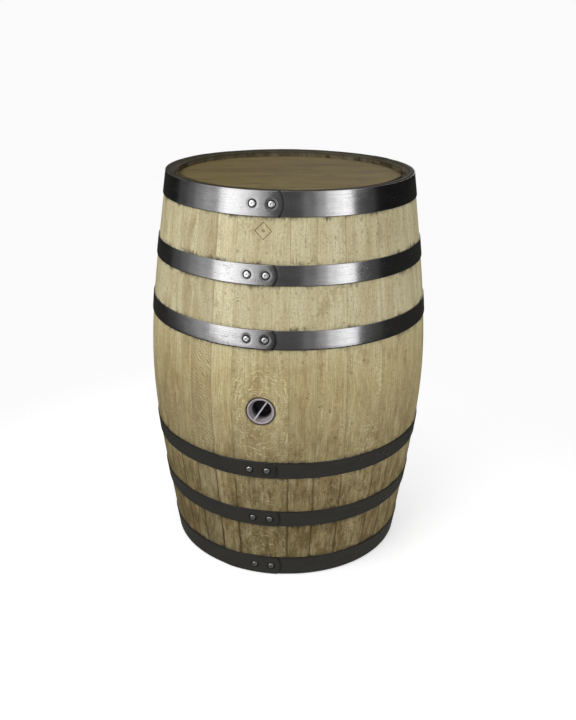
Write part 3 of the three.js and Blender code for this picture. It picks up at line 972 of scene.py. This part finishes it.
HEAD_EDGE_BOTTOM = HEAD_RECESS - CHIME_DEPTH - CROZE_WIDTH + 0.3 * MM  # from the outer face


def head_top(radius):
    """Height of the head's outer face, bevelled towards its edge."""
    edge_top = HEAD_EDGE_BOTTOM + HEAD_EDGE_THICKNESS
    return edge_top * np.clip((radius - HEAD_FACE_RADIUS) / (HEAD_RADIUS - HEAD_FACE_RADIUS), 0, 1)


def head_underside(radius):
    """Height of the head's inner face, bevelled up to its edge."""
    wall = outer_radius(np.array(HEIGHT - CHIME_DEPTH)) - STAVE_THICKNESS
    share = np.clip((radius - HEAD_INNER_FACE_RADIUS) / (wall - HEAD_INNER_FACE_RADIUS), 0, 1)
    return -HEAD_THICKNESS + (HEAD_EDGE_BOTTOM + HEAD_THICKNESS) * share


def board_outline(low, high, has_groove, has_tongue):
    """A board's section as (across, role, value) points, with its joint's tongue and groove.
    The value is how far a top point is sunk, and the height of a point on the joint's side."""
    middle = -HEAD_THICKNESS / 2
    rows = [low + d * MM for d in (0.0, 0.2, 0.6, 1.2)]
    inner = np.linspace(low + 1.2 * MM, high - 1.2 * MM, 15)[1:-1]
    rows += list(inner) + [high - d * MM for d in (1.2, 0.6, 0.2, 0.0)]
    sunk = dict(zip(range(4), (0.5, 0.22, 0.05, 0.0)))
    top = [(y, "top", sunk.get(min(i, len(rows) - 1 - i), 0.0) * MM) for i, y in enumerate(rows)]

    def key(edge, reach, half):
        corners = ((edge, half), (edge + reach, half), (edge + reach, -half), (edge, -half))
        return [(y, "side", middle + z) for y, z in corners]

    right = key(high, TONGUE, TONGUE / 2 - 0.1 * MM) if has_tongue else []
    left = key(low, TONGUE + 0.2 * MM, -TONGUE / 2 - 0.2 * MM) if has_groove else []
    underside = [(y, "under", 0.0) for y in (high, (low + high) / 2, low)]
    return top + right + underside + left


def make_board(node, end, material, tone, has_groove, has_tongue):
    """One head board: its section carried along the grain and narrowed to the head's circle."""
    turn = HEAD_TURNS[end]
    points = np.array([v.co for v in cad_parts[node].data.vertices])
    flipped = -1 if end == "bottom" else 1
    across = -points[:, 0] * math.sin(turn) + points[:, 1] * math.cos(turn)
    across *= flipped
    # The CAD board's tongue reaches past its face, so the face's own edges come from its top.
    face_z = HEAD_RECESS if end == "bottom" else HEIGHT - HEAD_RECESS
    on_face = np.abs(points[:, 2] - face_z) < 0.2 * MM
    low, high = across[on_face].min() - 0.1 * MM, across[on_face].max() + 0.1 * MM
    if not has_groove:
        low = -HEAD_RADIUS + 0.8 * MM
    if not has_tongue:
        high = HEAD_RADIUS - 0.8 * MM
    outline = board_outline(low, high, has_groove, has_tongue)
    sunk = rng.uniform(0.0, 0.35) * MM
    seed = grain_seed()
    cup = rng.uniform(-0.25, 0.1) * MM
    shares = (np.linspace(-1, -0.8, 8), np.linspace(-0.8, 0.8, 49)[1:-1], np.linspace(0.8, 1, 8))
    shares = np.concatenate(shares)

    points = []
    for share in shares:
        for y, role, value in outline:
            x = share * math.sqrt(max(HEAD_RADIUS**2 - y * y, (3 * MM) ** 2))
            radius = min(math.hypot(x, y), HEAD_RADIUS)
            top, under = float(head_top(radius)), float(head_underside(radius))
            across = (y - low) / (high - low)
            if role == "top":
                z = top - value - sunk + cup * 4 * across * (1 - across)
            elif role == "under":
                z = under
            else:
                z = min(max(value, under + 0.05 * MM), top - 0.6 * MM)
            points.append((x, y, z))
    points = np.array(points)
    x, y, z = points.T
    plank = np.stack((y, x, z), axis=1) + seed
    from_joint = np.maximum(np.minimum(y - low, high - y), 0.0)
    # Darker where the board runs into the croze.
    blackened = 0.85 * smoothstep(np.hypot(x, y), 270 * MM, 274 * MM)
    place = np.stack((from_joint, 0 * x + BOARD_PLACE_HEIGHT, blackened), axis=1)
    faces = tube_faces(len(shares), len(outline))
    place_on_barrel = Matrix.Translation((0, 0, face_z)) @ Matrix.Rotation(turn, 4, "Z")
    if end == "bottom":
        place_on_barrel = place_on_barrel @ Matrix.Rotation(math.pi, 4, "X")
    moved = [place_on_barrel @ Vector(p) for p in points]
    piece = make_piece(node + "_wood", moved, faces, {"plank": plank, "place": place}, material)
    settle(piece, "barrel", node, "head_oak", tone=tone, flecks=rng.uniform(0.2, 0.7), knots=0.3)


TOP_HEAD_TONES = (0.42, 0.18, 0.1, -0.2, -0.12, -0.05)


def make_heads():
    material = oak_material("head_oak", HEAD_LOOK)
    for end in ("top", "bottom"):
        boards = sorted(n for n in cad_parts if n.startswith(end + "_head_board_"))
        for index, node in enumerate(boards):
            tone = TOP_HEAD_TONES[index] if end == "top" else rng.uniform(-0.3, 0.3)
            last = index == len(boards) - 1
            make_board(node, end, material, tone, index > 0, not last)


# ---- hoops --------------------------------------------------------------------------------

HOOP_STAND_OFF = 0.35 * MM  # from the staves to the strip's inner face
LOWER_BEVEL, UPPER_BEVEL = 3.2 * MM, 1.2 * MM
TIP_STRETCH = 40 * MM  # finely divided, up to the strip's outer end
LAP_STRETCH = 25 * MM  # finely divided, past the lap
END_CURVE_REACH = 30 * MM  # how far back the rounding of the outer end is blended in
RIM_WIDTH = 1.6 * MM
LAP_GAP = 0.2 * MM
LAP_RAMP = math.radians(10)
LAP_LEAD = math.radians(6)


def hoop_layout(band, end, lap):
    near, far = (value * MM for value in HOOP_BANDS[band])
    bottom, top = (HEIGHT - far, HEIGHT - near) if end == "top" else (near, far)
    bottom_radius = float(outer_radius(bottom)) + HOOP_STAND_OFF
    top_radius = float(outer_radius(top)) + HOOP_STAND_OFF
    radius = (bottom_radius + top_radius) / 2
    return {
        "name": f"{band}_hoop_{end}",
        "bottom": bottom,
        "middle": (bottom + top) / 2,
        "width": math.hypot(top - bottom, top_radius - bottom_radius),
        "bottom_radius": bottom_radius,
        "radius": radius,
        "slope": math.atan2(top_radius - bottom_radius, top - bottom),
        "lap": math.radians(lap),
        "half_lap": (RIVET_SPACING / 2 + RIVET_TO_END) / radius,
    }


def ripple(angle, height, size):
    """Slow unevenness of a hammered strip, the same wherever its layers overlap."""
    where = Vector((math.cos(angle) * 4.5, math.sin(angle) * 4.5, height * 16))
    return noise.noise(where) * size


def make_hoop(hoop, material, worn, lap_soil):
    """A strip carried once round the staves and on over its own start, where it is lapped.
    worn is how rubbed its steel is, and the last argument how strongly the lap's edges are darkened,
    with dirt and painted shadow, 0 to 1."""
    width, slope, thick = hoop["width"], hoop["slope"], HOOP_THICKNESS
    outline = rounded([
        (0.0, 0.0, 0.3 * MM, 0.3 * MM),
        (width, 0.0, 0.3 * MM, 0.3 * MM),
        (width, thick, 0.9 * MM, UPPER_BEVEL),
        (0.0, thick, LOWER_BEVEL, 1.5 * MM),
    ], 6)
    outline = divided(outline, 5 * MM)
    sweep = 2 * math.pi + 2 * hoop["half_lap"]
    tip = TIP_STRETCH / hoop["radius"]
    double = 2 * hoop["half_lap"] + LAP_STRETCH / hoop["radius"]
    steps = np.concatenate((
        np.linspace(0, double, 90),
        np.linspace(double, sweep - tip, 280)[1:],
        np.linspace(sweep - tip, sweep, 41)[1:],
    ))
    half = width / 2
    round_radius = (half**2 + LAP_END_ROUNDING**2) / (2 * LAP_END_ROUNDING)
    ramp_end = 2 * math.pi - LAP_LEAD

    rings, strip, rim, lap_shade_and_dirt = [], [], [], []
    for turned in steps:
        to_tip = (sweep - turned) * hoop["radius"]
        share = float(smoothstep(END_CURVE_REACH - to_tip, 0, END_CURVE_REACH))
        lift = (thick + LAP_GAP) * float(smoothstep(turned, ramp_end - LAP_RAMP, ramp_end))
        droop = 0.5 * MM * float(smoothstep(6.5 * MM - to_tip, 0, 6.5 * MM))
        for up, out in outline:
            recede = round_radius - math.sqrt(round_radius**2 - (up - half) ** 2)
            angle = hoop["lap"] - hoop["half_lap"] + turned - recede * share / hoop["radius"]
            tip_round = 0.7 * MM * float(smoothstep(1.2 * MM - to_tip, 0, 1.2 * MM)) * out / thick
            out_now = out - tip_round
            height = hoop["bottom"] + up * math.cos(slope) - out_now * math.sin(slope)
            radius = hoop["bottom_radius"] + up * math.sin(slope) + out_now * math.cos(slope)
            radius += lift - droop + ripple(angle, height, worn * 0.28 * MM) + 0.05 * MM
            rings.append((radius * math.cos(angle), radius * math.sin(angle), height))
            along = turned * hoop["radius"]
            from_lap = (turned - 2 * math.pi - hoop["half_lap"]) * hoop["radius"]
            strip.append((along, up, from_lap))
            # The lap's darkening: beyond the outer end the layer below gets a crescent of painted
            # shadow, and the outer layer darkens towards its end, dirt and painted shade together.
            past_tip = along - 2 * hoop["half_lap"] * hoop["radius"] + recede
            shadowed = float(smoothstep(6 * MM - past_tip, 0, 5 * MM))
            darkened = 0.45 * float(smoothstep(9 * MM - to_tip, 0, 9 * MM))
            darkened += 0.6 * float(smoothstep(3 * MM - to_tip, 0, 1 * MM))
            lap_shade_and_dirt.append(shadowed if turned < math.pi else darkened)
            to_edge = RIM_WIDTH - min(up, width - up)
            rim.append(float(smoothstep(to_edge, 0, RIM_WIDTH)) if out > 0.3 * MM else 0.0)
    faces = tube_faces(len(steps), len(outline))
    layers = {"strip": strip, "rim": rim, "lap_shade_and_dirt": lap_shade_and_dirt}
    piece = make_piece(hoop["name"] + "_strip", rings, faces, layers, material, 50.0)
    settle(piece, "barrel", hoop["name"], "hoop_steel", worn=worn, lap_soil=lap_soil, half_width=half)


RIVET_FOOT = [(0.0, -1.2), (0.5, -1.2), (0.97, -0.1), (1.0, 0.25)]  # share of radius, mm out
RIVET_CROWN = [  # shares of the head's radius and height
    (0.995, 0.35), (0.95, 0.62), (0.86, 0.82), (0.74, 0.93), (0.55, 0.98),
    (0.34, 1.0), (0.24, 0.97), (0.17, 0.84), (0.08, 0.78), (0.0, 0.77),
]


def make_rivet(hoop, side, number, material):
    """A hammered rivet head with a dimple, its foot set in the strip."""
    radius, rise = RIVET_HEAD_RADIUS, RIVET_HEAD_HEIGHT - 0.2 * MM
    profile = [(radius * across, out * MM) for across, out in RIVET_FOOT]
    profile += [(radius * across, rise * out) for across, out in RIVET_CROWN]
    local, faces = lathe(profile, 36)
    angle = np.arctan2(local[:, 1], local[:, 0]) + rng.uniform(0, 6.3)
    local[:, :2] *= (1 + 0.022 * np.sin(2 * angle) + 0.012 * np.sin(3 * angle + 1))[:, None]
    lean = 0.16 * MM * np.sin(angle + 0.6) * np.hypot(local[:, 0], local[:, 1]) / radius
    local[:, 2] += np.where(local[:, 2] > rise * 0.5, lean, 0.0)

    angle = hoop["lap"] + side * RIVET_SPACING / 2 / hoop["radius"]
    along = Vector((-math.sin(angle), math.cos(angle), 0))
    outward = Vector((math.cos(angle), math.sin(angle), 0))
    up = outward * math.sin(hoop["slope"]) + Vector((0, 0, math.cos(hoop["slope"])))
    turn = Matrix((along, up, along.cross(up))).transposed().to_4x4()
    middle = outward * (hoop["radius"] + 2 * HOOP_THICKNESS + LAP_GAP + 0.02 * MM)
    middle.z = hoop["middle"]
    placed = Matrix.Translation(middle) @ turn
    node = f"{hoop['name']}_rivet_{number}"
    points = [placed @ Vector(p) for p in local]
    piece = make_piece(node + "_head", points, faces, {"local": local}, material, 60.0)
    settle(piece, "barrel", node, "rivet_steel")


def make_hoops():
    steel = steel_material()
    rivet_steel = rivet_material()
    for band, end, lap in HOOP_LAPS:
        hoop = hoop_layout(band, end, lap)
        worn = {"head": 1.0, "quarter": 0.6, "bilge": 0.5}[band] * (1.0 if end == "top" else 0.4)
        make_hoop(hoop, steel, worn, 0.85 if end == "top" else 0.4)
        make_rivet(hoop, -1, 1, rivet_steel)
        make_rivet(hoop, 1, 2, rivet_steel)


# ---- bung ---------------------------------------------------------------------------------


def make_bung():
    """A hollow tapered bung with an inner ledge, and a web across its mouth to pull it by."""
    material = silicone_material()
    floor, tip = BUNG_LENGTH - BUNG_FLOOR, BUNG_LENGTH
    ledge = 8 * MM
    ledge_radius = BUNG_MOUTH_RADIUS - (BUNG_MOUTH_RADIUS - BUNG_HOLLOW_RADIUS) * ledge / floor
    # (radius, depth) corners from the axis out to the wall, over the rim and down outside.
    corners = [
        (BUNG_HOLLOW_RADIUS, floor, 2.5 * MM, 2.5 * MM),
        (ledge_radius - 2.2 * MM, ledge + 1.2 * MM, 1.0 * MM, 1.0 * MM),
        (ledge_radius, ledge, 0.8 * MM, 0.8 * MM),
        (BUNG_MOUTH_RADIUS + 0.6 * MM, 0.0, 0.9 * MM, 0.9 * MM),
        (BUNG_OUTER_RADIUS - 0.1 * MM, 0.0, 1.1 * MM, 1.4 * MM),
        (BUNG_INNER_RADIUS, tip - 1 * MM, 0, 0),
        (BUNG_INNER_RADIUS - 1.2 * MM, tip, 0.5 * MM, 0.5 * MM),
        (0.0, tip, 0, 0),
        (0.0, floor, 0, 0),
    ]
    outline = rounded(corners, 6)
    wall = [(r, d) for r, d in outline if r > 1e-6]
    local, faces = lathe([(0, floor), *wall, (0, tip)], 96)
    on_cup = {"local": local, "web": np.zeros(len(local))}
    cup = make_piece("bung_cup", local, faces, on_cup, material)

    half, crest = 1.35 * MM, 1.6 * MM
    reach_top, reach_low = BUNG_MOUTH_RADIUS + 0.4 * MM, BUNG_HOLLOW_RADIUS + 1.5 * MM
    section = rounded([
        (-half, crest, 0.7 * MM, 0.7 * MM),
        (half, crest, 0.7 * MM, 0.7 * MM),
        (0.6 * half, floor + 1.5 * MM, 0, 0),
        (-0.6 * half, floor + 1.5 * MM, 0, 0),
    ])
    web_points = []
    shares = np.linspace(-1, 1, 25)
    for share in shares:
        for side, depth in section:
            reach = reach_top + (reach_low - reach_top) * (depth - crest) / (floor - crest)
            sag = 0.8 * MM * (1 - share * share) if depth < crest + 1 * MM else 0.0
            web_points.append((share * reach, side, depth + sag))
    web_points = np.array(web_points)
    web_faces = tube_faces(len(shares), len(section))
    on_web = {"local": web_points, "web": np.ones(len(web_points))}
    web = make_piece("bung_web", web_points, web_faces, on_web, material)
    web.data.transform(Matrix.Rotation(WEB_TURN, 4, "Z"))

    union = cup.modifiers.new("web", "BOOLEAN")
    union.operation = "UNION"
    union.solver = "EXACT"
    union.object = web
    graph = bpy.context.evaluated_depsgraph_get()
    joined = bpy.data.meshes.new_from_object(cup.evaluated_get(graph))
    cup.modifiers.clear()
    cup.data = joined
    bpy.data.objects.remove(web)
    # Local X runs right, local Y up and local Z into the barrel.
    inward = Matrix(((1, 0, 0), (0, 0, 1), (0, 1, 0))).to_4x4()
    placed = Matrix.Translation((0, -BILGE_RADIUS, BUNG_HEIGHT)) @ inward
    # The union mixes up the points' attributes, so they are worked out again from the places.
    points = np.array([v.co for v in joined.vertices])
    beside_web = np.abs(points[:, 1] * math.cos(WEB_TURN) - points[:, 0] * math.sin(WEB_TURN))
    wall = BUNG_MOUTH_RADIUS + (BUNG_HOLLOW_RADIUS - BUNG_MOUTH_RADIUS) * points[:, 2] / floor
    inside = np.hypot(points[:, 0], points[:, 1]) < wall - 0.6 * MM
    on_web = (beside_web < half + 0.05 * MM) & inside & (points[:, 2] < floor - 1 * MM)
    joined.attributes["local"].data.foreach_set("vector", points.ravel().astype(np.float32))
    joined.attributes["web"].data.foreach_set("value", on_web.astype(np.float32))
    joined.transform(placed)
    joined.flip_normals()
    joined.set_sharp_from_angle(angle=math.radians(40))
    settle(cup, "bung", "bung", "bung_silicone")


# ---- studio -------------------------------------------------------------------------------


def make_world():
    """Pale behind the object, softer as light, and dark where the steel mirrors it."""
    world = bpy.data.worlds.new("studio")
    bpy.context.scene.world = world
    g = Graph(world)
    g.tree.nodes.clear()
    path = g.node("LightPath")
    height = g.split(g.node("TexCoord").outputs["Generated"])[2]
    height = g.span(height, -1, 1, 0, 1, False)
    ambient = [(0.0, 60, 58, 54), (0.44, 88, 87, 85), (0.56, 150, 150, 150), (1.0, 196, 197, 200)]
    ambient = g.ramp(height, [(place, rgb(*colour)) for place, *colour in ambient])
    mirrored = g.ramp(height, [
        (0.0, (0.07, 0.069, 0.06)),
        (0.22, (0.066, 0.065, 0.057)),
        (0.29, (0.036, 0.035, 0.03)),
        (0.42, (0.03, 0.03, 0.028)),
        (0.5, (0.006, 0.006, 0.006)),
        (0.62, (0.02, 0.02, 0.02)),
        (1.0, (0.12, 0.12, 0.12)),
    ])
    colour = g.mix(path.outputs["Is Glossy Ray"], ambient, mirrored)
    colour = g.mix(path.outputs["Is Camera Ray"], colour, BACKDROP)
    background = g.make("Background", (colour,))
    g.node("OutputWorld", (background,))


BACKDROP = (0.96, 0.96, 0.96)


def make_floor():
    """A pale floor that fades into the backdrop's own colour away from the barrel."""
    mesh = bpy.data.meshes.new("floor")
    size = 60.0
    corners = [(-size, -size, 0), (size, -size, 0), (size, size, 0), (-size, size, 0)]
    mesh.from_pydata(corners, [], [(0, 1, 2, 3)])
    floor = bpy.data.objects.new("floor", mesh)
    bpy.context.scene.collection.objects.link(floor)
    floor.location.z = -0.4 * MM
    floor.visible_glossy = False
    floor.visible_diffuse = False
    g = Graph(bpy.data.materials.new("floor_pale"))
    plain = {"Specular IOR Level": 0.0, "Emission Color": (1, 1, 1), "Emission Strength": 0.42}
    g.surface(rgb(238, 238, 238), 0.9, None, plain)
    lit = g.tree.nodes["Principled BSDF"].outputs[0]
    glow = g.make("Emission", {"Color": BACKDROP})
    x, y, _ = g.split(g.node("TexCoord").outputs["Object"])
    fade = g.make("MixShader", (g.span(g.length(x, y), 0.45, 1.3), lit, glow))
    g.plug(g.tree.nodes["Material Output"].inputs["Surface"], fade)
    mesh.materials.append(g.owner)


def softbox(name, azimuth, elevation, distance, target, width, height, radiance):
    """A rectangular light of even radiance that faces a point on the barrel's axis."""
    data = bpy.data.lights.new(name, "AREA")
    data.shape = "RECTANGLE"
    data.size = width
    data.size_y = height
    data.energy = radiance * math.pi * width * height
    light = bpy.data.objects.new(name, data)
    bpy.context.scene.collection.objects.link(light)
    azimuth, elevation = math.radians(azimuth), math.radians(elevation)
    flat = math.cos(elevation)
    offset = Vector((math.cos(azimuth) * flat, math.sin(azimuth) * flat, math.sin(elevation)))
    aim = Vector((0, 0, target))
    light.location = aim + offset * distance
    light.rotation_euler = (-offset).to_track_quat("-Z", "Y").to_euler()
    light.visible_camera = False
    return light


def make_lights():
    # Tall strips mirrored in the hoops, as (azimuth, degrees wide, radiance).
    strips = [
        (-181.5, 13, 0.08), (-170.0, 10, 0.17), (-160.0, 10, 0.34), (-150.0, 10, 0.5),
        (-140.5, 9, 1.65), (-132.0, 8, 2.1), (-124.0, 8, 2.0), (-116.0, 8, 1.6),
        (-108.0, 8, 1.05), (-100.0, 8, 0.5), (-64.0, 10, 0.2), (-55.0, 8, 0.55),
        (-47.0, 8, 1.3), (-39.0, 8, 1.8), (-31.5, 8, 1.95), (-21.0, 10, 0.11),
        (-11.0, 10, 0.07), (84.0, 9, 1.3), (98.0, 12, 0.5),
    ]
    distance = 2.0
    for number, (azimuth, spread, radiance) in enumerate(strips, 1):
        width = 2 * distance * math.tan(math.radians(spread) / 2)
        softbox(f"strip_{number}", azimuth, 0, distance, 1.19, width, 1.94, radiance)
    softbox("front_glow", -84, 2, 2.6, 0.75, 1.9, 1.8, 0.09)
    softbox("overhead_front", -124, 48, 2.5, 0.55, 2.2, 1.3, 1.9)
    softbox("low_right", -24, -6, 2.0, 0.28, 1.5, 0.5, 4.2).visible_glossy = False
    softbox("overhead_back", 85, 52, 3.0, 0.6, 2.4, 1.2, 0.9)
    for name, azimuth, radiance in (("back_left", 150, 0.75), ("back_right", 30, 0.45)):
        softbox(name, azimuth, 12, 3.0, 0.7, 0.9, 2.0, radiance).visible_glossy = False


# ---- the barrel ---------------------------------------------------------------------------

bpy.context.scene.view_settings.view_transform = "Standard"
make_camera()
make_staves()
make_heads()
make_hoops()
make_bung()
make_world()
make_floor()
make_lights()
